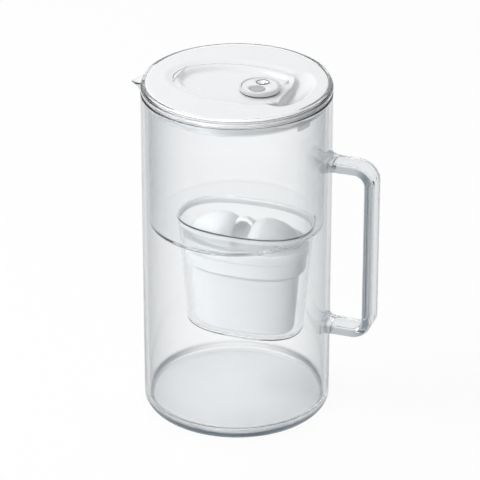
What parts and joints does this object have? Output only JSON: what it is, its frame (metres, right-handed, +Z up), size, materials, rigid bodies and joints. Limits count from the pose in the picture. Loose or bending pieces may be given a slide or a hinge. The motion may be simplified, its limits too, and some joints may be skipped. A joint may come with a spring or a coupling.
{
  "type": "water filter pitcher with flip lid",
  "caption": "Glass water filter pitcher: reservoir with oval filter well, lift-out cartridge, round lid with finger scoop and leaf-shaped fill flap with filter timer.",
  "frame": {"origin": "centre of the flat glass bottom, on the pitcher's axis", "axes": "+Z up, +X towards the handle, the pouring lip at -X"},
  "size_m": [0.1976, 0.146, 0.2726],
  "materials": {
    "jug_glass": "clear, polished",
    "clear_plastic": "clear, moulded",
    "silicone": "translucent silicone",
    "filter_plastic": "satin white",
    "filter_medium": "loose granules",
    "screen": "woven",
    "white_plastic": "glossy white",
    "frosted_plastic": "glossy pale grey",
    "seal_rubber": "moulded",
    "button_plastic": "glossy grey",
    "switch_plastic": "moulded",
    "board": "lacquered",
    "lamp": "clear resin",
    "steel": "plain"
  },
  "bodies": {
    "jug": {"glass_jug": "jug_glass", "glass_handle": "jug_glass"},
    "reservoir": {"funnel": "clear_plastic", "rim_gasket": "silicone"},
    "cartridge": {"cartridge_cup": "filter_plastic", "cartridge_cap": "filter_plastic", "filter_granules": "filter_medium", "inlet_screen": "screen", "outlet_screen": "screen"},
    "lid": {"lid": "white_plastic", "flap_hinge_pin": "steel"},
    "flap": {"flap": "white_plastic", "indicator_housing": "frosted_plastic", "indicator_seal": "seal_rubber", "indicator_cover": "white_plastic", "led_window": "clear_plastic", "reset_switch": "switch_plastic", "circuit_board": "board", "led_ready": "lamp", "led_change": "lamp", "battery_contact": "steel", "coin_cell": "steel"},
    "reset_button": {"reset_button": "button_plastic"},
    "battery_cover": {"battery_cover": "white_plastic", "cover_seal_ring": "seal_rubber"}
  },
  "joints": [
    {"name": "funnel_lift", "type": "slide", "parent": "jug", "child": "reservoir", "axis": [0, 0, 1], "range_m": [0, 0.215]},
    {"name": "cartridge_lift", "type": "slide", "parent": "reservoir", "child": "cartridge", "axis": [0, 0, 1], "range_m": [0, 0.08]},
    {"name": "lid_lift", "type": "slide", "parent": "reservoir", "child": "lid", "axis": [0, 0, 1], "range_m": [0, 0.1]},
    {"name": "flap_hinge", "type": "hinge", "parent": "lid", "child": "flap", "pos_m": [-0.0463, 0, 0.2708], "axis": [0, -1, 0], "range_deg": [0, 85]},
    {"name": "reset_press", "type": "slide", "parent": "flap", "child": "reset_button", "axis": [0, 0, -1], "range_m": [0, 0.0005], "stiffness_N_per_m": 800},
    {"name": "battery_cover_twist", "type": "hinge", "parent": "flap", "child": "battery_cover", "pos_m": [0.0185, 0, 0.2565], "axis": [0, 0, 1], "range_deg": [0, 40]}
  ]
}
